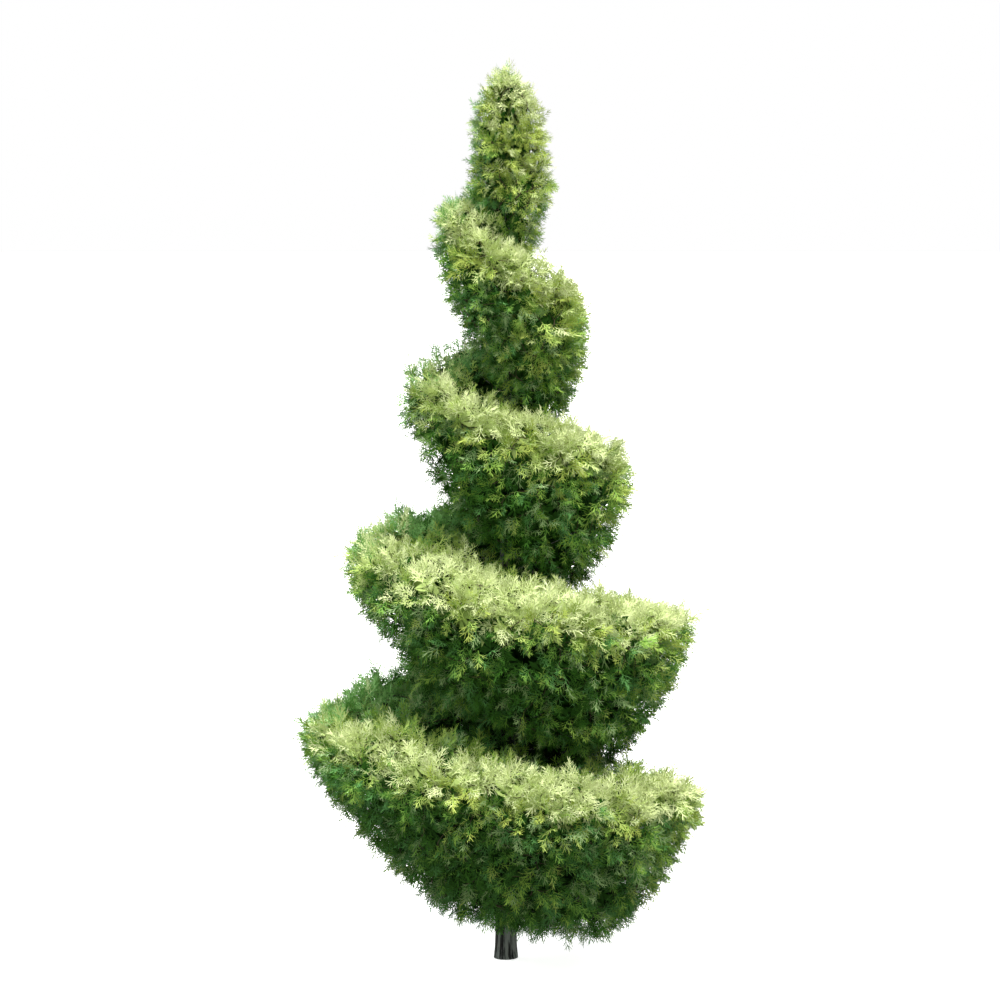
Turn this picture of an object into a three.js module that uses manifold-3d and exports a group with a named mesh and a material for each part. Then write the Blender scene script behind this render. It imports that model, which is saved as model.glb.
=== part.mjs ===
// Spiral topiary: a clipped conifer whose foliage winds down round one straight trunk.
// Millimetres, +Z up. The origin is the centre of the trunk's flat cut at ground level.
// X runs to the right and Y away from the front. The foliage is one broad band that turns
// anticlockwise, seen from above, as it comes down, under a small cone at the top. The band's
// turn angle is in degrees and is also its azimuth from +X, so 270 is the front and 360 the right.
import * as THREE from 'three';
import { mergeVertices } from 'three/addons/utils/BufferGeometryUtils.js';
import Module from 'manifold-3d';

const wasm = await Module();
wasm.setup();

// ---- Driving dimensions ----
const HEIGHT = 2600; // ground to the top of the finial
const GAP = 0.4; // clearance between neighbouring solids

const TRUNK = {
  top: 2500,
  footRadius: 34,
  flare: 3.5, // extra radius at the ground
  flareHeight: 70,
  tipRadius: 4,
  lean: 6, // how far the tip stands towards +X
  sides: 20,
  rings: 18,
};

const BAND = {
  startAngle: 45,
  endAngle: 1530,
  quarter: 90, // how much of a turn is one mass
  startHeight: 2276, // of the rim at angle 0
  drop: 423, // of the rim in the first turn
  extraDrop: 12.2, // growth of that drop, times the square of the turns
  tilt: 14, // left sides hang this much lower, and right sides higher, with each turn
  rimRadii: [128, 212, 246, 307, 374, 470, 545, 600, 574, 560], // at each half turn, from the top
  rise: 150, // from the rim up to the band's top at the trunk
  groove: 12, // free height at the trunk between a turn and the one below it
  coreShare: 0.6, // of the trunk's radius, for the inner edge before the trunk is cut out
  stepsPerQuarter: 6,
  curveSteps: 6,
};

// The rim stands up higher at the left of the front, in every turn.
const CREST = {
  lift: 20,
  extraLift: 2.4, // growth of that lift, times the square of the turns
  angle: 220, // of its highest place
  halfWidth: 80, // in angle
};

// The lowest turn ends in a bowl that hangs free round the trunk.
const BOWL = {
  floor: 88, // lowest foliage above the ground
  startAngle: 1170,
  fullAngle: 1350,
  extraDepth: 35, // below the spiral's own path
};

// The band's first stretch, at the back, swells out of the finial.
const HEAD = { endAngle: 150, riseShare: 0.9 };

// The band's last stretch, at the back, sinks and narrows to a rounded end.
const TAIL = {
  startAngle: 1430, // where it starts to narrow
  endShare: 0.3, // of its radius that is left at the end
  fallStart: 1410, // where its top starts to sink towards the rim
  fallEnd: 1510,
  riseShare: 0.5, // of its rise that is left there
  backAngle: 60, // past the end, until the foliage above hangs over a full rise again
};

// The band's section: across from the trunk (0) to the rim (1), and up from the underside
// at the trunk (-1), past the rim (0), to the top at the trunk (1).
const SECTION = {
  neck: 0.4, // half width of the flat foot of the underside
  bellyOut: 1.03, // handles of the curve from the rim down to that foot
  bellyDown: 0.05,
  footOut: 0.6,
  footDown: 0.97,
  shoulderOut: 0.75, // where the round shoulder ends
  shoulderUp: 0.88,
  topSteps: 4,
  neckSteps: 3,
  topLean: 0.48, // left sides are this much fuller above the rim, right sides slimmer
  underLean: 0.31, // right sides are this much fuller below the rim, left sides slimmer
};

// Soft unevenness left by the shears on every mass: waves in a turn, and radians up the section.
const LUMPS = [
  { size: 6, perTurn: 5.3, perHeight: 2.1, phase: 0.7 },
  { size: 5, perTurn: 9.7, perHeight: -3.4, phase: 2.9 },
  { size: 4, perTurn: 15.1, perHeight: 4.6, phase: 5.1 },
];

const FINIAL = {
  foot: 1975,
  bodyLean: 17, // how far its body stands towards +X
  tipLean: -3, // the same for its tip
  leanHeight: 2260, // where it starts to come back over the trunk
  sides: 20,
  lumpPitch: 100, // height that counts as one section height in a lump
  lumpRadius: 200, // radius at which a lump keeps its full size
  startClearance: 2, // degrees left free before the start of the band
  sideClearance: 1.01, // widening of the band's first turn where the finial is cut round it
  outline: [ // radius and height, from the foot to just under the tip
    [55, 1975], [60, 2050], [84, 2150], [108, 2200], [119, 2260],
    [114, 2340], [110, 2400], [97, 2460], [75, 2510], [46, 2565],
  ],
};

const RAD = Math.PI / 180;
const EDGE = 1e-3; // how near an end of a unit shape counts as that end
const clamp01 = (t) => Math.min(1, Math.max(0, t));
const smooth = (t) => clamp01(t) ** 2 * (3 - 2 * clamp01(t));

// ---- Trunk ----
function trunkRadius(height) {
  const stem = TRUNK.tipRadius + (TRUNK.footRadius - TRUNK.tipRadius) * (1 - height / TRUNK.top);
  return stem + TRUNK.flare * clamp01(1 - height / TRUNK.flareHeight) ** 2;
}

const trunkCentre = (height) => TRUNK.lean * clamp01(height / TRUNK.top) ** 1.5;

// The trunk's outside, or with a clearance the space that foliage leaves free for it.
function trunkGeometry(clearance = 0) {
  const unit = new THREE.CylinderGeometry(1, 1, 1, TRUNK.sides, TRUNK.rings);
  return remap(unit, ({ x, y, z }) => {
    const height = TRUNK.top * (y + 0.5) ** 1.5; // rings are closer together near the ground
    const radius = trunkRadius(height) + clearance;
    const beyond = Math.abs(y) > 0.5 - EDGE ? Math.sign(y) * clearance : 0;
    return { x: trunkCentre(height) + radius * x, y: -radius * z, z: height + beyond };
  });
}

// ---- The path of the band ----
function rimHeight(angle) {
  const turns = angle / 360;
  const path = BAND.startHeight - BAND.drop * turns - BAND.extraDrop * turns ** 2;
  const fromCrest = Math.abs((angle % 360) - CREST.angle) / CREST.halfWidth;
  const lift = angle < BAND.endAngle ? CREST.lift + CREST.extraLift * turns ** 2 : 0;
  const crest = lift * smooth(1 - fromCrest);
  return path + BAND.tilt * turns * Math.cos(angle * RAD) + crest;
}

const radiusCurve = new THREE.SplineCurve(BAND.rimRadii.map((radius, i) => new THREE.Vector2(i, radius)));

function rimRadius(angle) {
  const share = clamp01(angle / 180 / (BAND.rimRadii.length - 1));
  const tail = clamp01((angle - TAIL.startAngle) / (BAND.endAngle - TAIL.startAngle));
  return radiusCurve.getPoint(share).y * Math.sqrt(1 - (1 - TAIL.endShare ** 2) * tail ** 2);
}

// The height of the band's top over its rim, at the trunk.
function riseAt(angle) {
  const head = smooth((angle - BAND.startAngle) / (HEAD.endAngle - BAND.startAngle));
  const fall = smooth((angle - TAIL.fallStart) / (TAIL.fallEnd - TAIL.fallStart));
  const tail = fall * (1 - smooth((angle - BAND.endAngle) / TAIL.backAngle));
  const share = (HEAD.riseShare + (1 - HEAD.riseShare) * head) * (1 - (1 - TAIL.riseShare) * tail);
  return BAND.rise * share;
}

const topHeight = (angle) => rimHeight(angle) + riseAt(angle);

// The underside at the trunk: just above the next turn's top, or down at the bowl's floor.
function footHeight(angle) {
  const bowl = smooth((angle - BOWL.startAngle) / (BOWL.fullAngle - BOWL.startAngle));
  return Math.max(BOWL.floor, topHeight(angle + 360) + BAND.groove - BOWL.extraDepth * bowl);
}

function lump(angle, up) {
  const wave = (l) => l.size * Math.sin(l.perTurn * angle * RAD + l.perHeight * up + l.phase);
  return LUMPS.reduce((sum, l) => sum + wave(l), 0);
}

// ---- The band ----
function sectionShape() {
  const s = SECTION;
  const shape = new THREE.Shape();
  shape.moveTo(0, -1);
  for (let i = 1; i <= s.neckSteps; i += 1) shape.lineTo(s.neck * (i / s.neckSteps), -1);
  shape.bezierCurveTo(s.footOut, -s.footDown, s.bellyOut, -s.bellyDown, 1, 0);
  shape.quadraticCurveTo(s.bellyOut, s.shoulderUp * 0.8, s.shoulderOut, s.shoulderUp);
  for (let t = 1 / s.topSteps; t < 1 + EDGE; t += 1 / s.topSteps) {
    shape.lineTo(s.shoulderOut * (1 - t), s.shoulderUp + (1 - s.shoulderUp) * t);
  }
  shape.closePath();
  return shape;
}

// Where a point of the section lies at a turn angle. aside moves it along the turn.
function bandPoint(angle, across, up, aside) {
  const side = Math.cos(angle * RAD);
  const fullness = up > 0 ? 1 + SECTION.topLean * side : 1 - SECTION.underLean * side;
  const share = across ** fullness;
  const uneven = lump(angle, up) * share;
  const reach = up > 0 ? riseAt(angle) : rimHeight(angle) - footHeight(angle);
  const height = rimHeight(angle) + up * reach + 0.5 * uneven;
  const core = BAND.coreShare * trunkRadius(height);
  const radius = core + (rimRadius(angle) - core) * share + uneven;
  const [c, s] = [Math.cos(angle * RAD), Math.sin(angle * RAD)];
  return { x: trunkCentre(height) + radius * c - aside * s, y: radius * s + aside * c, z: height };
}

// A stretch of the band, set back by half a gap at both of its ends.
function bandGeometry(from, to) {
  const steps = Math.ceil(((to - from) / BAND.quarter) * BAND.stepsPerQuarter);
  const unit = new THREE.ExtrudeGeometry(sectionShape(), {
    depth: 1, steps, curveSegments: BAND.curveSteps, bevelEnabled: false,
  });
  return remap(unit, ({ x: across, y: up, z: along }) => {
    const angle = to + (from - to) * along;
    const aside = (GAP / 2) * ((along > 1 - EDGE) - (along < EDGE));
    return bandPoint(angle, across, up, aside);
  });
}

// ---- The finial ----
function finialGeometry() {
  const profile = [[0, FINIAL.foot], ...FINIAL.outline, [0, HEIGHT]];
  const turned = new THREE.LatheGeometry(profile.map(([r, z]) => new THREE.Vector2(r, z)), FINIAL.sides);
  return remap(turned, ({ x, y: height, z }) => {
    const uneven = 1 + lump(Math.atan2(-z, x) / RAD, height / FINIAL.lumpPitch) / FINIAL.lumpRadius;
    const tipShare = clamp01((height - FINIAL.leanHeight) / (HEIGHT - FINIAL.leanHeight));
    const centre = FINIAL.bodyLean + (FINIAL.tipLean - FINIAL.bodyLean) * tipShare;
    return { x: centre + x * uneven, y: -z * uneven, z: height };
  });
}

// The finial stands a groove above the band's first turn, and clear of its start and its side.
function firstTurnSpace() {
  const turn = solid(bandGeometry(BAND.startAngle, BAND.startAngle + 360));
  const raised = turn.translate(0, 0, BAND.groove);
  const turned = raised.rotate(0, 0, -FINIAL.startClearance);
  const widened = raised.scale([FINIAL.sideClearance, FINIAL.sideClearance, 1]);
  return turn.add(raised).add(turned).add(widened);
}

// ---- Geometry helpers ----
// Moves every vertex of a geometry to the place that the function gives for it.
function remap(geometry, place) {
  const positions = geometry.getAttribute('position');
  const point = new THREE.Vector3();
  for (let i = 0; i < positions.count; i += 1) {
    const moved = place(point.fromBufferAttribute(positions, i));
    positions.setXYZ(i, moved.x, moved.y, moved.z);
  }
  return geometry;
}

function solid(geometry) {
  geometry.deleteAttribute('normal');
  geometry.deleteAttribute('uv');
  const merged = mergeVertices(geometry, 1e-3);
  return new wasm.Manifold(new wasm.Mesh({
    numProp: 3,
    vertProperties: new Float32Array(merged.getAttribute('position').array),
    triVerts: new Uint32Array(merged.index.array),
  }));
}

function geometryOf(manifold) {
  const mesh = manifold.getMesh();
  const geometry = new THREE.BufferGeometry();
  geometry.setAttribute('position', new THREE.BufferAttribute(mesh.vertProperties, mesh.numProp));
  geometry.setIndex(new THREE.BufferAttribute(mesh.triVerts, 1));
  geometry.computeVertexNormals();
  return geometry;
}

// ---- The assembly ----
const bark = new THREE.MeshStandardMaterial({ color: 0x3c3935, roughness: 0.95, metalness: 0 });
const foliage = new THREE.MeshStandardMaterial({ color: 0x55803a, roughness: 0.9, metalness: 0 });

const topiary = new THREE.Group();

function addNode(name, geometry, material) {
  const mesh = new THREE.Mesh(geometry, material);
  mesh.name = name;
  topiary.add(mesh);
}

const trunkSpace = solid(trunkGeometry(GAP));

addNode('trunk', trunkGeometry(), bark);
const finial = solid(finialGeometry()).subtract(firstTurnSpace()).subtract(trunkSpace);
addNode('finial', geometryOf(finial), foliage);

const SIDES = ['back', 'left', 'front', 'right'];
for (let i = 0; BAND.startAngle + i * BAND.quarter < BAND.endAngle; i += 1) {
  const from = BAND.startAngle + i * BAND.quarter;
  const to = Math.min(from + BAND.quarter, BAND.endAngle);
  const name = to - from < BAND.quarter ? 'tail' : `turn_${Math.floor(i / 4) + 1}_${SIDES[i % 4]}`;
  addNode(name, geometryOf(solid(bandGeometry(from, to)).subtract(trunkSpace)), foliage);
}

export default topiary;
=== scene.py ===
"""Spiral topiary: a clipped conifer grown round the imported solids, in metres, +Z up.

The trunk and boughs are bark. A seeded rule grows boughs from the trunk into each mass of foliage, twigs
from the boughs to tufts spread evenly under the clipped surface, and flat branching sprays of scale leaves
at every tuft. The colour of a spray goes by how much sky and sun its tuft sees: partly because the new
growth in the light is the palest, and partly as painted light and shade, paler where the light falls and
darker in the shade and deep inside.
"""
import math
import bpy
import numpy as np
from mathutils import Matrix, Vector, noise
from mathutils.bvhtree import BVHTree

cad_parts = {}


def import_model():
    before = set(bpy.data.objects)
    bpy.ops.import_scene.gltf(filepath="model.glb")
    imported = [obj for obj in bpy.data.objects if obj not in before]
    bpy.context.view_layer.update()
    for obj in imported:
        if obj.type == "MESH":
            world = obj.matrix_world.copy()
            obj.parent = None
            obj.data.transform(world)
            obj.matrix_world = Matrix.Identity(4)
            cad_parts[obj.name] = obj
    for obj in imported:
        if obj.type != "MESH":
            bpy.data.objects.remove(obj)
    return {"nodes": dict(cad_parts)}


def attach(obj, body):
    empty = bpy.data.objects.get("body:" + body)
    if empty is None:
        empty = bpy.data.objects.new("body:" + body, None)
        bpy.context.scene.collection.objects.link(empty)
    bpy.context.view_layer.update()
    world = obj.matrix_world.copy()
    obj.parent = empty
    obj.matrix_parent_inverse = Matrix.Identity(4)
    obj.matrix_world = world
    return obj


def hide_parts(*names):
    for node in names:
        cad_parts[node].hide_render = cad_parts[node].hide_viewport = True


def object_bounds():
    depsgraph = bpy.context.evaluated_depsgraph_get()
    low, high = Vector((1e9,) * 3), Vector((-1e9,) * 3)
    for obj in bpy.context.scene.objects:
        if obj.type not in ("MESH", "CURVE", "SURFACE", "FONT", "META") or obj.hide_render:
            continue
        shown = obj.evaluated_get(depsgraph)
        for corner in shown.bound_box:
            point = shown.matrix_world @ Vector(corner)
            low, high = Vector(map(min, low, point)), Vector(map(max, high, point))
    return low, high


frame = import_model()
CAD_LO, CAD_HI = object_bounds()

# ---- Driving values, in metres unless said ----
SEED = 20
MASSES = sorted(name for name in frame["nodes"] if name != "trunk")

# Where the tufts of a mass stand.
TUFT_SPACING = 0.037
UPPER_SPACING = 0.029  # in the finial, in the first turn and on the trunk
TUFT_DEPTH = 0.036  # below the clipped surface, where the plant is full,
THIN_DEPTH = 0.4  # and this share of it where the plant is not full at all
THICK_SHARE = 0.35  # of a mass's thickness: no tuft is deeper, and no inner spray is longer
FULL_REACH = 0.28  # nearer to the axis than this, the plant is less full: lower hummocks, smaller sprays
LEAST_FULLNESS = 0.4
HUMMOCK = 0.075  # how far the clipped surface swells and sinks, from a hummock's top to a full width away
HUMMOCK_SIZE = 0.13
HUMMOCK_MIDDLE = 0.42  # how far from a hummock's top, in widths, the surface is at its middle height
UNDERSIDE = -0.2  # a surface whose normal rises less than this is an underside
UNDER_HUMMOCK = 0.5  # the share of its swelling that an underside has
RADIATE = 1.3  # how far the sprays of a hummock turn away from its top
OVERHANG = 0.3  # a forward underside with foliage nearer below it than this
HANG = 0.032  # grows up to this much further out,
HANG_FACING = 1.5  # the more it faces forward
GROOVE_FOOT = 0.2  # lowest shoot that grows straight from the trunk, in the grooves between turns

# Where leaves grow: on surfaces in the open, and where two turns close on each other.
OPEN_AIR = 0.03  # the clear way that a surface has in front of it if leaves grow on it
CREVICE_AIR = 0.006  # the least clear way of the leafy surfaces in a crevice,
CREVICE_DEPTH = 0.08  # as far in from the open as this
BURIED_DEPTH = 0.07  # a closed surface this far in from the leafy ones has inner sprays of its own

# Sprays of a tuft.
SPRAYS_PER_TUFT = 6
SPRAY_LENGTH = (0.042, 0.064)
THIN_LENGTH = 0.55  # the share of its length that a spray keeps where the plant is not full at all
STRAY = 0.05  # share of the tufts with a long spray that the shears missed,
STRAY_LENGTH = 1.35  # as many times as long as the others
TUFT_DROP = 0.012  # how far below its tuft's highest spray the lowest one starts
TUFT_RADIUS = 0.006  # of the ring in which the sprays of a tuft start

# Old sprays inside.
INNER_PER_TUFT = 4
BURIED_PER_TUFT = 3
INNER_LENGTH = (0.05, 0.075)
INNER_LEAST = 0.015  # the shortest inner spray
INNER_DEPTH = 0.16  # how far below the clipped surface they reach in the open,
BURIED_REACH = 0.02  # and below a buried surface
INNER_TOP = 0.015  # of the highest ones below their tuft,
THIN_TOP = 0.03  # and this much more where the plant is not full at all
INNER_THICKNESS = 0.06  # a mass thinner than this has none
INNER_MARGIN = 0.012  # from the clipped surface to the sides of a spray
INNER_SPAN = 0.8  # how far a spray reaches to each side, as a share of its length
INNER_ROOM = 0.1  # with this much room all round, a spray has its full length

# Limbs.
BOUGH_SPACING = 0.16
BOUGH_END = 0.02  # of a bough's end below its tuft
BOUGH_RISE = 0.3  # how much a bough rises on its way out, as a share of that way
BOUGH_SAG = 0.06  # how far it hangs below a straight line on its way, as a share of that way
BOUGH_KNEE = 0.55  # where it bends, as a share of that way,
BOUGH_WANDER = 0.03  # and how far to the side it does
BOUGH_START = 0.7  # how far out it starts, as a share of the trunk's radius
LOW_MARGIN = 0.03  # of the lowest bough's start above the mass's lowest tuft
BOUGH_STEPS = 9
BOUGH_SIDES = 9
BOUGH_RIDGES = 0.12
TWIG_STEPS = 4
TWIG_LEAST = 0.001
TWIG_TURN = 0.6  # how far a twig turns to its tuft by the middle of its way
CROSS_COST = 1.35  # by how much the distance counts to wood that runs across the way to the tuft,
HEADING_GAIN = 0.5  # and how much less it counts to wood that points straight at the tuft
TWIG_SIDES = 3
TWIG_RADIUS = 0.0009
TWIG_TIP = 0.6  # the thickness at a twig's tip, as a share of that at its start
PIPE_POWER = 0.36  # how a limb thickens with the number of tufts that it feeds

# Light on the surface, as a share of what open level ground gets. The colours of the sprays paint it in as
# light and shade.
SUN = (0.35, -0.55, 0.75)  # the way to the light, on the side of the key lamp: sprays that face it are painted paler, partly for the paler growth in the sun and partly as painted light
SKY_DIFFUSE = 0.4  # the light from every part of the sky,
SKY_DIRECT = 1.2  # and what is added to that towards the sun
SKY_RINGS = ((0.15, 10), (0.5, 9), (0.9, 7), (1.35, 3))  # the elevation of a ring of rays, and their number
SKY_START = 0.012
SKY_REACH = 1.5  # a ray that gets as far as this has reached the sky
LEAST_LIGHT = 0.16
CREVICE_LIGHT = 0.2  # added in a crevice, as painted light there
HIGH_LIGHT = (0.1, 0.26)  # how much more the very top gets than the foot, on upright and on level faces, as painted light

# Colours by light: the light and shade that a spray gets are painted into its colour, along with the paler
# new growth in the light. A spray's score is its light and the leanings of its tuft and of its own.
COLOUR_STEPS = (0.07, 0.18, 0.32, 0.45, 0.56, 0.69)  # the score at which a spray goes one step paler
INNER_STEPS = (0.35, 0.55, 0.72)  # the same for an inner spray
TUFT_LEANING = 0.06
SPRAY_LEANING = 0.07
INNER_LEANING = 0.12
HUMMOCK_LIGHT = 0.25  # how much lighter the top of a hummock is painted, and the hollows between hummocks darker: painted light and shade
SHADE_LIGHT = (0.3, 0.65)  # for a tuft with this light,
DEPTH_SHADE = (0.40, 0.05)  # how much less its lowest spray gets than its highest, as painted shade on the lower sprays
SHADE_FROM = 0.15  # the share of the lowest spray's depth at which a spray gets the light of its tuft
INNER_SHADE = 4  # how fast light goes inside, for each metre: painted shade, darker the deeper
INNER_DARK = 0.012  # an inner spray less than this below the outer ones is not of the darkest colour
THIN_SHADE = 0.3  # how much less light the inner sprays get at the axis than where the plant is full, as painted shade
GREY_SHARE = 0.35  # of the middle greens
STEEP = 0.15  # where the surface's normal rises less than this, most of the pale tips are golden,
THIN_STEEP = 0.4  # or less than this where the plant is less full than
GOLDEN = 0.5
PALE_KEPT = 0.4  # the share of the pale tips that stay pale there
COOL_GREENS = 1.3  # how many of the greens are painted cooler on the side away from the sun, as painted shade,
COOL_TIPS = 0.6  # and how many of the pale tips
BRIGHT_SHARE = 0.13  # of the tufts, with young green sprays in the shade too,
BRIGHT_BELOW = 0.5  # where their score, and their depth in the tuft, are less than this

# Plain base colours of the sprays, linear, from the palest new growth to the dark inside. They are tones of
# light and shade as much as of growth: lit and shaded copies of the foliage's greens.
PALETTE = [
    ("pale", (0.66, 0.74, 0.38)),
    ("cream", (0.53, 0.64, 0.25)),
    ("lime", (0.39, 0.52, 0.13)),
    ("fresh", (0.27, 0.44, 0.08)),
    ("cool", (0.24, 0.47, 0.15)),
    ("mid", (0.19, 0.37, 0.07)),
    ("grey", (0.27, 0.40, 0.17)),
    ("blue", (0.10, 0.26, 0.075)),
    ("deep", (0.06, 0.175, 0.025)),
    ("gold", (0.41, 0.51, 0.11)),
    ("olive", (0.14, 0.21, 0.045)),
    ("straw", (0.29, 0.38, 0.12)),
    ("dusk", (0.03, 0.10, 0.013)),
    ("inner", (0.010, 0.042, 0.004)),
]
COLOUR = {name: i for i, (name, _) in enumerate(PALETTE)}


def entries(*names):
    """The places of colours in the palette."""
    return np.array([COLOUR[name] for name in names])


BY_LIGHT = entries("deep", "blue", "mid", "fresh", "lime", "cream", "pale")
INNER_BY_LIGHT = entries("inner", "dusk", "olive", "straw")
# The colour of a spray's stem and lower leaves, under tips of each colour of the palette: darker or the
# same, for the older growth and as painted shade at the foot of a spray.
OLDER_AND_SHADED = entries("cream", "lime", "fresh", "mid", "blue", "deep", "blue",
                "deep", "inner", "fresh", "olive", "straw", "dusk", "inner")

rng = np.random.default_rng(SEED)


# ---- Small helpers ----
def unit(v):
    v = np.asarray(v, float)
    return v / np.maximum(np.linalg.norm(v, axis=-1, keepdims=True), 1e-12)


def nearest(points, others):
    """The distance from each point to the nearest of the others."""
    return np.array([np.min(np.sum((others - p) ** 2, 1)) for p in points]) ** 0.5


def mesh_object(name, vertices, triangles, materials, indices=None, smooth=False):
    mesh = bpy.data.meshes.new(name)
    mesh.vertices.add(len(vertices))
    mesh.vertices.foreach_set("co", np.asarray(vertices, np.float32).ravel())
    mesh.loops.add(3 * len(triangles))
    mesh.loops.foreach_set("vertex_index", np.asarray(triangles, np.int32).ravel())
    mesh.polygons.add(len(triangles))
    mesh.polygons.foreach_set("loop_start", np.arange(0, 3 * len(triangles), 3, dtype=np.int32))
    for material in materials:
        mesh.materials.append(material)
    if indices is not None:
        mesh.polygons.foreach_set("material_index", np.asarray(indices, np.int32))
    mesh.polygons.foreach_set("use_smooth", np.full(len(triangles), smooth))
    mesh.update(calc_edges=True)
    obj = bpy.data.objects.new(name, mesh)
    bpy.context.scene.collection.objects.link(obj)
    return obj


def tube_triangles(rings, sides):
    """The walls and the two ends of a closed tube whose vertices go round ring by ring."""
    rows, columns = np.meshgrid(np.arange(rings - 1), np.arange(sides), indexing="ij")
    a = (rows * sides + columns).ravel()
    b = (rows * sides + (columns + 1) % sides).ravel()
    walls = np.concatenate([np.stack([a, b, b + sides], 1), np.stack([a, b + sides, a + sides], 1)])
    fan = np.stack([np.zeros(sides - 2, int), np.arange(1, sides - 1), np.arange(2, sides)], 1)
    return np.concatenate([walls, fan[:, ::-1], fan + (rings - 1) * sides])


class Joined:
    """Collects vertices and triangles of many small shapes for one mesh."""

    def __init__(self):
        self.vertices, self.triangles, self.indices, self.count = [], [], [], 0

    def add(self, vertices, triangles, index=0):
        self.vertices.append(vertices)
        self.triangles.append(np.asarray(triangles) + self.count)
        self.indices.append(np.broadcast_to(index, len(triangles)))
        self.count += len(vertices)

    def object(self, name, materials, smooth=False):
        return mesh_object(name, np.concatenate(self.vertices), np.concatenate(self.triangles),
                           materials, np.concatenate(self.indices), smooth)


# ---- Materials ----
BARK_STRETCH = 0.07  # of the height, which makes the pattern of the bark long and upright
FIBRE_SCALE, PATCH_SCALE, PATCH_SHARE = 120, 26, 0.45
BARK_STOPS = ((0.66, (0.004, 0.005, 0.004)), (0.73, (0.065, 0.072, 0.072)), (0.80, (0.24, 0.26, 0.255)))
LEAF_ROUGHNESS, LEAF_SPECULAR = 0.7, 0.05


def plain_material(name, colour, roughness, specular):
    material = bpy.data.materials.new(name)
    material.use_nodes = True
    shader = material.node_tree.nodes["Principled BSDF"]
    shader.inputs["Base Color"].default_value = (*colour, 1)
    shader.inputs["Roughness"].default_value = roughness
    shader.inputs["Specular IOR Level"].default_value = specular
    return material


def ramp_node(nodes, stops):
    """A colour ramp through two or more stops, each a position and a colour."""
    ramp = nodes.new("ShaderNodeValToRGB")
    elements = ramp.color_ramp.elements
    for _ in stops[2:]:
        elements.new(1)
    for element, (position, colour) in zip(elements, stops):
        element.position = position
        element.color = (*colour, 1)
    return ramp


def noise_node(tree, vector, scale, detail, roughness=0.5):
    node = tree.nodes.new("ShaderNodeTexNoise")
    for name, value in (("Scale", scale), ("Detail", detail), ("Roughness", roughness)):
        node.inputs[name].default_value = value
    tree.links.new(vector, node.inputs["Vector"])
    return node.outputs["Fac"]


def bark_material():
    """Dark grey bark in fine upright fibres, paler on the ridges."""
    material = plain_material("bark", (0.05, 0.045, 0.045), 0.9, 0.25)
    tree = material.node_tree
    nodes, links = tree.nodes, tree.links
    shader = nodes["Principled BSDF"]
    place = nodes.new("ShaderNodeTexCoord")
    stretch = nodes.new("ShaderNodeMapping")
    stretch.inputs["Scale"].default_value = (1, 1, BARK_STRETCH)
    links.new(place.outputs["Object"], stretch.inputs["Vector"])
    fibres = noise_node(tree, stretch.outputs["Vector"], FIBRE_SCALE, detail=5, roughness=0.7)
    patches = noise_node(tree, stretch.outputs["Vector"], PATCH_SCALE, detail=3)
    mix = nodes.new("ShaderNodeMath")
    mix.operation = "MULTIPLY_ADD"
    mix.inputs[1].default_value = PATCH_SHARE
    links.new(patches, mix.inputs[0])
    links.new(fibres, mix.inputs[2])
    ramp = ramp_node(nodes, BARK_STOPS)
    links.new(mix.outputs["Value"], ramp.inputs["Fac"])
    links.new(ramp.outputs["Color"], shader.inputs["Base Color"])
    bump = nodes.new("ShaderNodeBump")
    bump.inputs["Strength"].default_value = 0.6
    bump.inputs["Distance"].default_value = 0.002
    links.new(mix.outputs["Value"], bump.inputs["Height"])
    links.new(bump.outputs["Normal"], shader.inputs["Normal"])
    return material


BARK = bark_material()
TWIG = plain_material("twig", (0.055, 0.045, 0.022), 0.85, 0.25)
LEAVES = [plain_material("leaf_" + name, colour, LEAF_ROUGHNESS, LEAF_SPECULAR) for name, colour in PALETTE]


# ---- What the solids say ----
RING_GAP = 0.001  # vertices of the trunk that are closer in height than this belong to one ring
CUT_STEP = 0.0001  # past a surface, to look on from there


def surface_of(node):
    mesh = frame["nodes"][node].data
    mesh.calc_loop_triangles()
    vertices = np.empty(3 * len(mesh.vertices))
    mesh.vertices.foreach_get("co", vertices)
    triangles = np.empty(3 * len(mesh.loop_triangles), np.int32)
    mesh.loop_triangles.foreach_get("vertices", triangles)
    return vertices.reshape(-1, 3), triangles.reshape(-1, 3)


def trunk_rings():
    """Height, centre and radius of each ring of the trunk."""
    vertices, _ = surface_of("trunk")
    heights = np.unique(vertices[:, 2].round(4))
    rings = []
    for height in heights:
        ring = vertices[np.abs(vertices[:, 2] - height) < RING_GAP, :2]
        centre = (ring.min(0) + ring.max(0)) / 2
        rings.append((height, *centre, np.linalg.norm(ring - centre, axis=1).max()))
    return np.array(rings)


RINGS = trunk_rings()


def trunk_at(height):
    """Centre (x, y) and radius of the trunk at a height or heights."""
    x, y, radius = (np.interp(height, RINGS[:, 0], RINGS[:, k]) for k in (1, 2, 3))
    return np.stack([x, y], -1), radius


def tree_of_surfaces(nodes):
    vertices, triangles, count = [], [], 0
    for node in nodes:
        v, t = surface_of(node)
        vertices.append(v)
        triangles.append(t + count)
        count += len(v)
    return BVHTree.FromPolygons(np.concatenate(vertices).tolist(), np.concatenate(triangles).tolist())


SOLIDS = tree_of_surfaces(frame["nodes"])


def clear_way(point, direction, distance):
    """How far a ray runs from a point before it meets a solid, up to a distance."""
    hit = SOLIDS.ray_cast(Vector(point), Vector(direction), distance)
    return distance if hit[0] is None else hit[3]


def room_ahead(point, direction, distance):
    """How far a ray runs on inside the plant, across the cuts between masses, up to a distance."""
    gone = 0.0
    while gone < distance:
        gone += clear_way(point + direction * gone, direction, distance) + CUT_STEP
        across = clear_way(point + direction * gone, direction, CREVICE_AIR)
        if across >= CREVICE_AIR:
            return gone
        gone += across + CUT_STEP
    return distance


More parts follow.
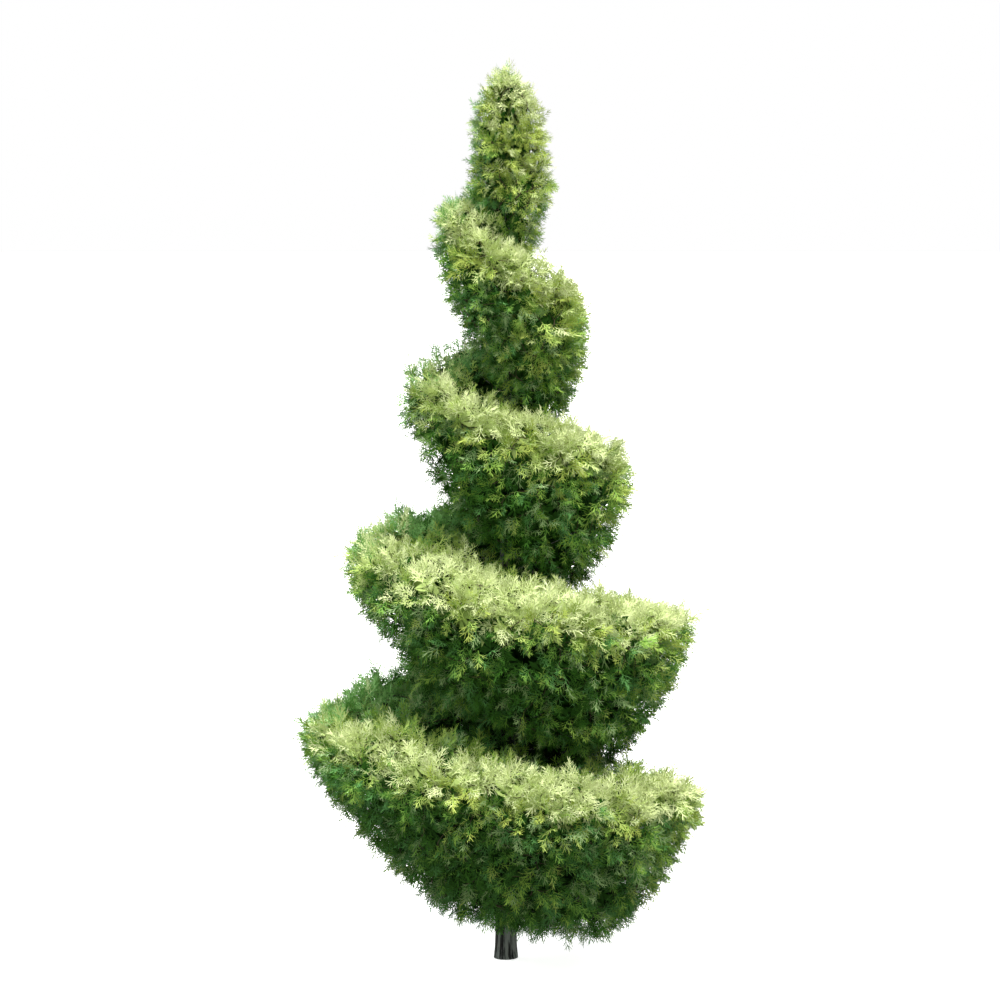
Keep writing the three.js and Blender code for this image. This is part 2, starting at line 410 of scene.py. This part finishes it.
SKY_RAYS = unit([(math.cos(a) * math.cos(e), math.sin(a) * math.cos(e), math.sin(e))
                 for e, n in SKY_RINGS for a in np.arange(n) * 2 * math.pi / n + e])
SKY_LIGHT = SKY_DIFFUSE + SKY_DIRECT * np.maximum(SKY_RAYS @ unit(SUN), 0) ** 2


def sky_share(point, normal):
    """The light that a small patch of the surface gets, as a share of what open level ground gets."""
    facing = SKY_RAYS @ normal * SKY_LIGHT
    start = point + normal * SKY_START
    lit = sum(f for f, ray in zip(facing, SKY_RAYS)
              if f > 0 and clear_way(start, ray, SKY_REACH) >= SKY_REACH)
    return lit / np.sum(SKY_RAYS[:, 2] * SKY_LIGHT)


# ---- Tufts: where the sprays stand, spread evenly over the clipped surface ----
TRIES = 14  # random points tried for each square of the spacing, enough to leave no gap
OUT_START, IN_START, DOWN_START = 0.0002, 0.0005, 0.001  # how far from the surface the rays start
THICKEST = 0.5  # as far as the thickness of a mass is measured


def scattered(node, spacing):
    """Points at least a spacing apart on a mass, with outward normals and the clear way in front of each."""
    vertices, triangles = surface_of(node)
    corner, second, third = np.moveaxis(vertices[triangles], 1, 0)
    cross = np.cross(second - corner, third - corner)
    area = np.linalg.norm(cross, axis=1) / 2
    tries = int(TRIES * area.sum() / spacing ** 2)
    face = rng.choice(len(area), tries, p=area / area.sum())
    a, b = rng.random((2, tries, 1))
    flip = a + b > 1
    a, b = np.where(flip, 1 - a, a), np.where(flip, 1 - b, b)
    points = corner[face] + a * (second[face] - corner[face]) + b * (third[face] - corner[face])
    normals = unit(cross[face])
    cells, kept = {}, []
    for i, point in enumerate(points):
        x, y, z = (point // spacing).astype(int)
        near = [j for dx in (-1, 0, 1) for dy in (-1, 0, 1) for dz in (-1, 0, 1)
                for j in cells.get((x + dx, y + dy, z + dz), ())]
        if near and np.min(np.sum((points[near] - point) ** 2, 1)) < spacing ** 2:
            continue
        cells.setdefault((x, y, z), []).append(i)
        kept.append(i)
    points, normals = points[kept], normals[kept]
    air = np.array([clear_way(p + n * OUT_START, n, OPEN_AIR) for p, n in zip(points, normals)])
    return points, normals, air


def hummock(point):
    """How far a point is above the middle height of the hummocks, in widths, and the way from the top."""
    distances, tops = noise.voronoi(Vector(point) / HUMMOCK_SIZE)
    return HUMMOCK_MIDDLE - distances[0], Vector(point) / HUMMOCK_SIZE - tops[0]


class Tufts:
    """The tufts of one mass: centres below the surface, normals and light, and where the inner sprays go."""

    def __init__(self, node):
        upper = node in ("finial", "trunk") or node.startswith("turn_1")
        surface, normals, air = scattered(node, UPPER_SPACING if upper else TUFT_SPACING)
        thick = np.array([clear_way(p - n * IN_START, -n, THICKEST) for p, n in zip(surface, normals)])
        away = nearest(surface, surface[air >= OPEN_AIR])
        open_air = (air >= OPEN_AIR) | (air > CREVICE_AIR) & (away < CREVICE_DEPTH)
        if node == "trunk":
            open_air &= surface[:, 2] > GROOVE_FOOT
        # Every point of the surface, for the inner sprays.
        self.inner_points, self.inner_normals, self.inner_thick = surface, normals, thick
        self.open_air = open_air
        # The leafy ones, for the tufts.
        surface, self.normals, thick = surface[open_air], normals[open_air], thick[open_air]
        self.fullness = np.clip(np.linalg.norm(surface[:, :2], axis=1) / FULL_REACH, LEAST_FULLNESS, 1)
        lift, spread = zip(*(hummock(p) for p in surface))
        self.lift = np.array(lift)
        self.depth = self.depths(surface, thick)
        self.centres = surface - self.normals * self.depth[:, None]
        self.outward = unit(self.normals + RADIATE * np.array(spread) * self.fullness[:, None])
        # The light that each tuft gets, painted into the colours of its sprays as light and shade, with
        # painted light added in crevices and towards the top.
        self.light = np.array([sky_share(p, n) for p, n in zip(surface, self.normals)])
        self.light = np.maximum(self.light + CREVICE_LIGHT * (air[open_air] < OPEN_AIR), LEAST_LIGHT)
        self.light += (surface[:, 2] / CAD_HI.z) ** 2 * np.interp(self.normals[:, 2], (0, 1), HIGH_LIGHT)

    def depths(self, surface, thick):
        """How far the tufts stand below the surface, less on hummocks and where foliage hangs over."""
        under = self.normals[:, 2] < UNDERSIDE
        depth = np.minimum(TUFT_DEPTH * (THIN_DEPTH + (1 - THIN_DEPTH) * self.fullness), THICK_SHARE * thick)
        depth -= HUMMOCK * self.lift * self.fullness * np.where(under, UNDER_HUMMOCK, 1)
        hangs = np.array([below and clear_way(p + n * DOWN_START, (0, 0, -1), OVERHANG) < OVERHANG
                          for p, n, below in zip(surface, self.normals, under)])
        return depth - HANG * hangs * self.fullness * np.clip(-HANG_FACING * self.normals[:, 1], 0, 1)


# ---- Limbs ----
def tube(points, radii, sides, relief=0.0):
    """A closed tapering tube along a path, with ridges of the given share of its radius."""
    points, radii = np.asarray(points), np.asarray(radii)
    along = unit(np.gradient(points, axis=0))
    aside = unit(np.cross(along, np.where(np.abs(along[:, 2:]) > 0.9, [[1.0, 0, 0]], [[0, 0, 1.0]])))
    third = np.cross(along, aside)
    turn = np.arange(sides) * 2 * math.pi / sides
    ridge = 1 + relief * np.sin(turn * 3 + 1.3) * np.cos(turn * 2)
    ring = np.cos(turn)[:, None] * aside[:, None] + np.sin(turn)[:, None] * third[:, None]
    vertices = (points[:, None] + ring * (ridge[:, None] * radii[:, None, None])).reshape(-1, 3)
    return vertices, tube_triangles(len(points), sides)


def curve(start, control, end, steps):
    t = np.linspace(0, 1, steps)[:, None]
    return (1 - t) ** 2 * start + 2 * t * (1 - t) * control + t ** 2 * end


class Wood:
    """The limbs of one mass. Every path grows from a place on an older path, nearer to the trunk."""

    def __init__(self):
        self.points = np.empty((0, 3))
        self.directions = np.empty((0, 3))
        self.older = []  # the place on the wood that each place grows from
        self.paths = []

    def grow(self, path, older):
        """Adds a path. Its first point is where it leaves the place older, or the trunk if that is None."""
        first = len(self.points)
        new = path[1:]
        self.points = np.vstack([self.points, new])
        self.directions = np.vstack([self.directions, unit(np.diff(path, axis=0))])
        self.older += [older] + list(range(first, first + len(new) - 1))
        self.paths.append((path[0], first, len(new)))

    def feed(self):
        """How many ends each place feeds."""
        fed = np.zeros(len(self.older))
        for _, first, count in self.paths:
            fed[first + count - 1] += 1
        for place in range(len(self.older) - 1, -1, -1):
            if self.older[place] is not None:
                fed[self.older[place]] += fed[place]
        return fed


def grow_boughs(wood, tufts):
    """Boughs from the trunk to places spread through the mass, rising outwards as a conifer's do."""
    chosen = []
    for i in rng.permutation(len(tufts.centres)):
        if all(np.sum((tufts.centres[i] - tufts.centres[j]) ** 2) > BOUGH_SPACING ** 2 for j in chosen):
            chosen.append(i)
    low, high = tufts.centres[:, 2].min(), tufts.centres[:, 2].max()
    for i in chosen:
        end = tufts.centres[i] - tufts.normals[i] * BOUGH_END
        reach = math.hypot(*end[:2])
        height = np.clip(end[2] - BOUGH_RISE * reach - BOUGH_END, low + LOW_MARGIN, high)
        centre, radius = trunk_at(height)
        out = unit(end[:2] - centre)
        start = np.array([*(centre + out * radius * BOUGH_START), height])
        control = start + (end - start) * BOUGH_KNEE - np.array([0, 0, BOUGH_SAG * reach])
        control[:2] += rng.normal(0, BOUGH_WANDER, 2) * reach
        wood.grow(curve(start, control, end, BOUGH_STEPS), None)


def grow_twigs(wood, tufts):
    """A twig to each tuft from the nearest wood, those near the boughs first."""
    gap = [np.min(np.sum((wood.points - c) ** 2, 1)) for c in tufts.centres]
    for i in np.argsort(gap):
        end = tufts.centres[i]
        away = end - wood.points
        distance = np.linalg.norm(away, axis=1)
        # Wood that already points towards the tuft counts as nearer.
        heading = np.sum(away * wood.directions, 1) / np.maximum(distance, 1e-9)
        older = int(np.argmin(distance * (CROSS_COST - HEADING_GAIN * heading)))
        start = wood.points[older]
        step = distance[older]
        if step < TWIG_LEAST:
            continue
        control = start + unit(wood.directions[older] + TWIG_TURN * unit(away[older])) * step / 2
        wood.grow(curve(start, control, end, TWIG_STEPS), older)


def add_limbs(boughs, twigs, wood):
    """The limbs as tubes, each as thick as the tufts that it feeds ask for."""
    limb_radii = TWIG_RADIUS * np.maximum(wood.feed(), 1) ** PIPE_POWER
    for start, first, count in wood.paths:
        points = np.vstack([start, wood.points[first:first + count]])
        radii = limb_radii[first:first + count]
        radii = np.concatenate([radii[:1], radii])
        if wood.older[first] is None:
            boughs.add(*tube(points, radii, BOUGH_SIDES, relief=BOUGH_RIDGES))
        else:
            radii[-1] *= TWIG_TIP
            twigs.add(*tube(points, radii, TWIG_SIDES))


# ---- Shapes of sprays, 1 long: flat fans of scale leaves, branching twice ----
STEM_BEND, STEM_DROOP = (0, 0.14), (-0.04, 0.14)  # the mean and the spread of each
BLADE_WIDTH = 0.040
LEAFLETS_FROM, LEAFLETS_RUN = 0.1, 0.76  # the stretch of the stem that leaflets leave
PLACE_CHANCE = 0.6  # how far a leaflet wanders towards the next one
LEAFLET_ANGLE, ANGLE_FALL, ANGLE_CHANCE = 0.98, 0.35, 0.1  # at the stem's foot, and how much less at the tip
LEAFLET_LENGTH, LENGTH_FALL, LENGTH_CHANCE = 0.56, 0.34, (0.8, 1.15)
LEAFLET_TILT = 0.2
FORKS = ((-1, 0.3, 0.6), (1, 0.45, 0.45))  # the side, where on the leaflet, and the share of its length
FORK_ANGLE = (0.55, 0.8)
FORK_WIDTH = 0.9
FORK_TILT = 0.25
TWICE_FORKED = 0.45  # leaflets lower on the stem than this fork to both sides, and the others only to one
INNER_ANGLES = (-0.95, -0.35, 0.35, 0.95)
INNER_BEND = 0.3
LEAF_LENGTH, LEAF_WIDTH = (0.75, 1), 0.27
LEAF_MIDDLE = 0.6  # where a broad leaf is widest


class Shape:
    """A small leafy shape, 1 long along X and lying in XY, of faces that are tips or older growth."""

    def __init__(self):
        self.vertices, self.triangles, self.old = [], [], []

    def face(self, corners, old):
        first = len(self.vertices)
        self.vertices += [np.asarray(c, float) for c in corners]
        for k in range(1, len(corners) - 1):
            self.triangles.append((first, first + k, first + k + 1))
            self.old.append(old)

    def sides(self, angle, length, width, lift):
        """The way along a leaf, which ends lift times its length up, and half of the way across it."""
        ahead = np.array([math.cos(angle), math.sin(angle), lift]) * length
        return ahead, np.array([-math.sin(angle), math.cos(angle), 0]) * width / 2

    def blade(self, start, angle, length, width, lift):
        """A narrow twiglet of scale leaves, a little narrower at its end."""
        ahead, side = self.sides(angle, length, width, lift)
        end = start + ahead
        self.face([start - side, end - side / 2, end + side / 2, start + side], False)
        return ahead

    def leaf(self, start, angle, length, width, lift):
        """A broad old leaf, widest past its middle."""
        ahead, side = self.sides(angle, length, width, lift)
        middle = start + LEAF_MIDDLE * ahead
        self.face([start, middle - side, start + ahead, middle + side], True)

    def done(self):
        return np.array(self.vertices), np.array(self.triangles), np.array(self.old)


def spray_shape(pairs):
    """A spray whose leaflets leave the stem in turn on both sides, each with a fork or two."""
    shape = Shape()
    bend, droop = rng.normal(*STEM_BEND), rng.normal(*STEM_DROOP)

    def stem(t):
        return np.array([t, bend * t * t, droop * t * t])

    half = np.array([0, BLADE_WIDTH / 2, 0])
    shape.face([stem(0) - half, stem(0.5) - half, stem(0.5) + half, stem(0) + half], True)
    shape.face([stem(0.5) - half, stem(1) - half / 2, stem(1) + half / 2, stem(0.5) + half], False)
    for i in range(2 * pairs):
        t = LEAFLETS_FROM + LEAFLETS_RUN * (i + rng.random() * PLACE_CHANCE) / (2 * pairs)
        hand = 1 if i % 2 else -1
        # Leaflets get shorter, and point further forward, towards the tip.
        angle = hand * (LEAFLET_ANGLE - ANGLE_FALL * t + rng.normal(0, ANGLE_CHANCE)) + 2 * bend * t
        length = (LEAFLET_LENGTH - LENGTH_FALL * t) * rng.uniform(*LENGTH_CHANCE)
        ahead = shape.blade(stem(t), angle, length, BLADE_WIDTH, rng.normal(0, LEAFLET_TILT))
        for side, share, size in FORKS:
            if side < 0 or t < TWICE_FORKED:
                turn = angle + side * hand * rng.uniform(*FORK_ANGLE)
                shape.blade(stem(t) + ahead * share, turn, length * size,
                            BLADE_WIDTH * FORK_WIDTH, rng.normal(0, FORK_TILT))
    return shape.done()


def inner_shape():
    """An old spray deep in the plant, of four plain leaves that bend inwards. Its colour, mostly dark and
    given where it is placed, is painted shade.
    """
    shape = Shape()
    for angle in INNER_ANGLES:
        turn = angle + rng.normal(0, ANGLE_CHANCE)
        shape.leaf(np.zeros(3), turn, rng.uniform(*LEAF_LENGTH), LEAF_WIDTH, -abs(rng.normal(0, INNER_BEND)))
    return shape.done()


SPRAYS = [spray_shape(pairs) for pairs in (3, 4) * 4]
INNER = [inner_shape() for _ in range(4)]


# ---- Sprays in their places ----
FLUTTER = 0.4  # how far the flat side of a spray turns from the way that it should face
LEAN, DEEP_LEAN = 0.3, 1.4  # how far a tuft's highest spray leans out, and how much further its lowest one
LEAN_CHANCE = (-0.2, 0.3)
TOP_FACING = 0.2  # a spray whose normal rises more than this
TOP_RISE, SIDE_RISE = 0.2, -0.08  # turns up to the light, and the others droop a little
INNER_LEAN = (-0.2, 0.5)  # how far an inner spray turns out of the surface
INNER_CROWDING = 1.5  # the greater it is, the closer to the surface most inner sprays are


def place(joined, shapes, starts, axes, normals, sizes, colours):
    """Sets one of the shapes at every start, along its axis, with its flat side facing its normal."""
    aside = unit(np.cross(normals, axes))
    normals = np.cross(axes, aside)
    kind = rng.integers(len(shapes), size=len(starts))
    for k, (vertices, triangles, old) in enumerate(shapes):
        pick = kind == k
        if not pick.any():
            continue
        basis = np.stack([axes[pick], aside[pick], normals[pick]], 1) * sizes[pick, None, None]
        world = starts[pick, None] + np.einsum("vk,nkc->nvc", vertices, basis)
        offsets = np.arange(pick.sum())[:, None, None] * len(vertices)
        tips = colours[pick][:, None]
        # The stems and lower leaves take a darker colour, for the older growth and as painted shade.
        joined.add(world.reshape(-1, 3), (triangles + offsets).reshape(-1, 3),
                   np.where(old, OLDER_AND_SHADED[tips], tips).ravel())


def spray_colours(tufts, depth):
    """A palette entry for each spray, by its light and by the leanings of its tuft and its own, so that
    light and shade are painted into its colour.
    """
    count = len(tufts.light)
    tuft = tufts.light + rng.normal(0, TUFT_LEANING, count) + HUMMOCK_LIGHT * tufts.lift
    shade = np.interp(tufts.light, SHADE_LIGHT, DEPTH_SHADE)[:, None]
    # The lower sprays of a tuft are painted darker, as painted shade.
    score = tuft[:, None] + rng.normal(0, SPRAY_LEANING, depth.shape) - shade * (depth - SHADE_FROM)
    colours = BY_LIGHT[np.digitize(score, COLOUR_STEPS)]
    swap = rng.random(score.shape)
    colours[np.isin(colours, entries("mid", "fresh")) & (swap < GREY_SHARE)] = COLOUR["grey"]
    away = (-unit(tufts.centres[:, :2]) @ unit(SUN[:2]))[:, None]
    greens = np.isin(colours, entries("blue", "mid", "fresh", "lime", "cream"))
    light = np.isin(colours, entries("pale", "cream"))
    golden = tufts.normals[:, 2] < np.where(tufts.fullness < GOLDEN, THIN_STEEP, STEEP)
    colours[light & golden[:, None] & (swap > PALE_KEPT)] = COLOUR["gold"]
    # On the side away from the sun, greens and pale tips are painted cooler, as painted shade.
    colours[greens & (swap < COOL_GREENS * away)] = COLOUR["cool"]
    colours[light & (swap < COOL_TIPS * away)] = COLOUR["cool"]
    bright = (rng.random(count) < BRIGHT_SHARE)[:, None] & (score < BRIGHT_BELOW) & (depth < BRIGHT_BELOW)
    colours[bright] = rng.choice(entries("fresh", "lime", "grey"), bright.sum())
    return colours.ravel()


def tangents(normals):
    """A random way along the surface for each normal."""
    spin = unit(rng.normal(size=normals.shape))
    return unit(spin - normals * np.sum(spin * normals, -1, keepdims=True))


def add_outer_sprays(joined, tufts):
    """The sprays of a tuft stand apart like a bouquet, and the ones that lean further out start deeper."""
    count = len(tufts.centres)
    depth = np.tile(np.linspace(0, 1, SPRAYS_PER_TUFT), (count, 1))
    lean = (LEAN + DEEP_LEAN * depth + rng.uniform(*LEAN_CHANCE, depth.shape)).ravel()[:, None]
    normals = np.repeat(tufts.outward, SPRAYS_PER_TUFT, 0)
    tangent = tangents(normals)
    up = np.array([0, 0, 1.0]) * np.where(normals[:, 2:] > TOP_FACING, TOP_RISE, SIDE_RISE)
    axes = unit(normals + tangent * lean + up)
    flat = unit(normals + rng.normal(0, FLUTTER, normals.shape))
    length = THIN_LENGTH + (1 - THIN_LENGTH) * tufts.fullness
    sizes = rng.uniform(*SPRAY_LENGTH, len(normals)) * np.repeat(length, SPRAYS_PER_TUFT)
    sizes[::SPRAYS_PER_TUFT] *= np.where(rng.random(count) < STRAY, STRAY_LENGTH, 1)
    starts = np.repeat(tufts.centres, SPRAYS_PER_TUFT, 0) - normals * (TUFT_DROP * depth.ravel())[:, None]
    starts += tangent * TUFT_RADIUS
    place(joined, SPRAYS, starts, axes, flat, sizes, spray_colours(tufts, depth))


def add_inner_sprays(joined, tufts):
    """Old sprays below the outer ones, painted green just under the lit surface and nearly black deep
    inside, as painted shade.
    """
    points, open_air = tufts.inner_points, tufts.open_air
    light, shallow = np.zeros((2, len(points)))
    light[open_air] = tufts.light - THIN_SHADE * (1 - tufts.fullness)
    shallow[open_air] = tufts.depth + INNER_TOP + THIN_TOP * (1 - tufts.fullness)
    away = nearest(points, points[open_air])
    count = np.where(open_air, INNER_PER_TUFT, np.where(away > BURIED_DEPTH, BURIED_PER_TUFT, 0))
    count[tufts.inner_thick < INNER_THICKNESS] = 0
    pick = np.repeat(np.arange(len(points)), count)
    normals, open_air, thick = tufts.inner_normals[pick], open_air[pick], tufts.inner_thick[pick]
    tangent = tangents(normals)
    axes = unit(normals * rng.uniform(*INNER_LEAN, len(pick))[:, None] + tangent)
    sizes = np.minimum(rng.uniform(*INNER_LENGTH, len(pick)), THICK_SHARE * thick)
    shallow = shallow[pick]
    reach = np.where(open_air, np.minimum(INNER_DEPTH, 0.5 * thick), BURIED_REACH)
    below = rng.random(len(pick)) ** INNER_CROWDING * np.maximum(reach - shallow, 0)
    flat = unit(normals + rng.normal(0, FLUTTER, normals.shape))
    middles = points[pick] - normals * (shallow + below)[:, None]
    # None of them may show past the outline of the plant.
    aside = unit(np.cross(flat, axes))
    room = np.array([min(room_ahead(middle, way, INNER_ROOM) for way in (a, -a, b, -b))
                     for middle, a, b in zip(middles, axes, aside)])
    sizes = np.minimum(sizes, (room - INNER_MARGIN) / INNER_SPAN)
    starts = middles - axes * (0.5 * sizes)[:, None]
    # Painted shade: the deeper an inner spray and the less light its surface gets, the darker its colour.
    score = light[pick] + rng.normal(0, INNER_LEANING, len(pick)) - INNER_SHADE * below
    score = np.where(below < INNER_DARK, np.maximum(score, INNER_STEPS[0]), score)
    colours = INNER_BY_LIGHT[np.digitize(score, INNER_STEPS)]
    keep = sizes > INNER_LEAST
    place(joined, INNER, starts[keep], axes[keep], flat[keep], sizes[keep], colours[keep])


# ---- The trunk ----
TRUNK_SIDES = 120
BARE_HEIGHT = 0.4  # up to which the trunk can be seen, so its rings are closer together there
BARE_STEP, UPPER_STEP = 0.005, 0.05
FURROW, FIBRE = 0.0016, 0.0009  # how far furrows and fibres go in and out
FURROWS, FURROW_RUN = 7, 1.6  # how closely they follow round the trunk, and up it
FIBRES, FIBRE_RUN = 24, 9
BARK_INSET = 0.0022  # of the middle of the bark inside the solid
FULL_BARK = 0.03  # where the trunk's radius is less than this, its bark is finer


def trunk_piece():
    """The whole stem, with upright furrows and fibres."""
    top = RINGS[-1, 0]
    bare, upper = np.arange(0, BARE_HEIGHT, BARE_STEP), np.arange(BARE_HEIGHT, top, UPPER_STEP)
    heights = np.concatenate([bare, upper, [top]])
    turn = np.arange(TRUNK_SIDES) * 2 * math.pi / TRUNK_SIDES
    centre, radius = trunk_at(heights)
    rows = []
    for height, (x, y), r in zip(heights, centre, radius):
        relief = []
        for angle in turn:
            x_way, y_way = math.cos(angle), math.sin(angle)
            furrow = noise.noise(Vector((x_way, y_way, height * FURROW_RUN)) * FURROWS + Vector((0, 0, 3)))
            fibre = noise.noise(Vector((x_way * FIBRES, y_way * FIBRES, height * FIBRE_RUN)))
            relief.append(FURROW * furrow + FIBRE * fibre)
        fine = min(1, r / FULL_BARK)
        out = (r - BARK_INSET * fine) + np.array(relief) * fine
        level = np.full(TRUNK_SIDES, height)
        rows.append(np.stack([x + out * np.cos(turn), y + out * np.sin(turn), level], 1))
    triangles = tube_triangles(len(heights), TRUNK_SIDES)
    piece = mesh_object("trunk_bark", np.concatenate(rows), triangles, [BARK], smooth=True)
    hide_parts("trunk")
    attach(piece, "root")


# ---- The plant ----
trunk_piece()
boughs, twigs, inner = Joined(), Joined(), Joined()
for mass in MASSES:
    tufts = Tufts(mass)
    wood = Wood()
    grow_boughs(wood, tufts)
    grow_twigs(wood, tufts)
    add_limbs(boughs, twigs, wood)
    add_inner_sprays(inner, tufts)
    outer = Joined()
    add_outer_sprays(outer, tufts)
    piece = outer.object("sprays_" + mass, LEAVES)
    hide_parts(mass)
    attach(piece, "root")
add_outer_sprays(inner, Tufts("trunk"))  # the shoots in the grooves between turns

for joined, name, materials, slot in ((boughs, "boughs", [BARK], "bark"), (twigs, "twigs", [TWIG], "bark"),
                                      (inner, "inner_sprays", LEAVES, "foliage")):
    piece = joined.object(name, materials, smooth=name == "boughs")
    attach(piece, "root")


# ---- Stage, light and camera ----
FLOOR_REACH = 60
FLOOR_GLOW = 0.88
SKY_STOPS = ((0.45, (0.22, 0.23, 0.20)), (1.0, (1.0, 1.0, 1.0)))  # from the ground to straight up
SKY_STRENGTH = 1.9
EYE = (-0.017, -10, 2.4)
LOOK_DOWN = 6.02  # degrees
LENS, SENSOR = 125.4, 36  # millimetres


def floor():
    """A pale floor, so bright that only the deepest shade shows on it. It throws no light on the plant."""
    corners = [(x * FLOOR_REACH, y * FLOOR_REACH, 0) for x, y in ((-1, -1), (1, -1), (1, 1), (-1, 1))]
    material = plain_material("floor", (0.9, 0.9, 0.9), 0.9, 0.1)
    shader = material.node_tree.nodes["Principled BSDF"]
    shader.inputs["Emission Color"].default_value = (1, 1, 1, 1)
    shader.inputs["Emission Strength"].default_value = FLOOR_GLOW
    plane = mesh_object("floor", corners, [(0, 1, 2), (0, 2, 3)], [material])
    plane.visible_diffuse = False


def world():
    """A white surround for the camera, and a softer sky, dimmer towards the ground, as the light."""
    made = bpy.data.worlds.new("studio")
    bpy.context.scene.world = made
    made.use_nodes = True
    nodes, links = made.node_tree.nodes, made.node_tree.links
    nodes.clear()
    place = nodes.new("ShaderNodeTexCoord")
    split = nodes.new("ShaderNodeSeparateXYZ")
    links.new(place.outputs["Generated"], split.inputs["Vector"])
    ramp = ramp_node(nodes, SKY_STOPS)
    links.new(split.outputs["Z"], ramp.inputs["Fac"])
    light = nodes.new("ShaderNodeBackground")
    light.inputs["Strength"].default_value = SKY_STRENGTH
    links.new(ramp.outputs["Color"], light.inputs["Color"])
    white = nodes.new("ShaderNodeBackground")
    white.inputs["Color"].default_value = (1, 1, 1, 1)
    path = nodes.new("ShaderNodeLightPath")
    mix = nodes.new("ShaderNodeMixShader")
    links.new(path.outputs["Is Camera Ray"], mix.inputs["Fac"])
    links.new(light.outputs["Background"], mix.inputs[1])
    links.new(white.outputs["Background"], mix.inputs[2])
    output = nodes.new("ShaderNodeOutputWorld")
    links.new(mix.outputs["Shader"], output.inputs["Surface"])


def sun(name, azimuth, elevation, strength, colour, spread):
    """A soft light from an azimuth, from +X towards +Y, and an elevation, both in degrees."""
    data = bpy.data.lights.new(name, "SUN")
    data.energy = strength
    data.color = colour
    data.angle = math.radians(spread)
    lamp = bpy.data.objects.new(name, data)
    a, e = math.radians(azimuth), math.radians(elevation)
    source = Vector((math.cos(a) * math.cos(e), math.sin(a) * math.cos(e), math.sin(e)))
    lamp.rotation_mode = "QUATERNION"
    lamp.rotation_quaternion = source.to_track_quat("Z", "Y")
    bpy.context.scene.collection.objects.link(lamp)


def camera():
    """Ten metres in front, just below the height of the tip, looking slightly down at the plant."""
    data = bpy.data.cameras.new("camera")
    data.lens = LENS
    data.sensor_width = SENSOR
    eye = bpy.data.objects.new("camera", data)
    eye.location = EYE
    eye.rotation_euler = (math.radians(90 - LOOK_DOWN), 0, 0)
    bpy.context.scene.collection.objects.link(eye)
    bpy.context.scene.camera = eye


floor()
world()
sun("key", -60, 68, 5.0, (1.0, 0.98, 0.92), 40)
sun("fill", 165, 55, 2.2, (0.94, 0.98, 1.0), 60)
camera()
bpy.context.scene.view_settings.view_transform = "Standard"
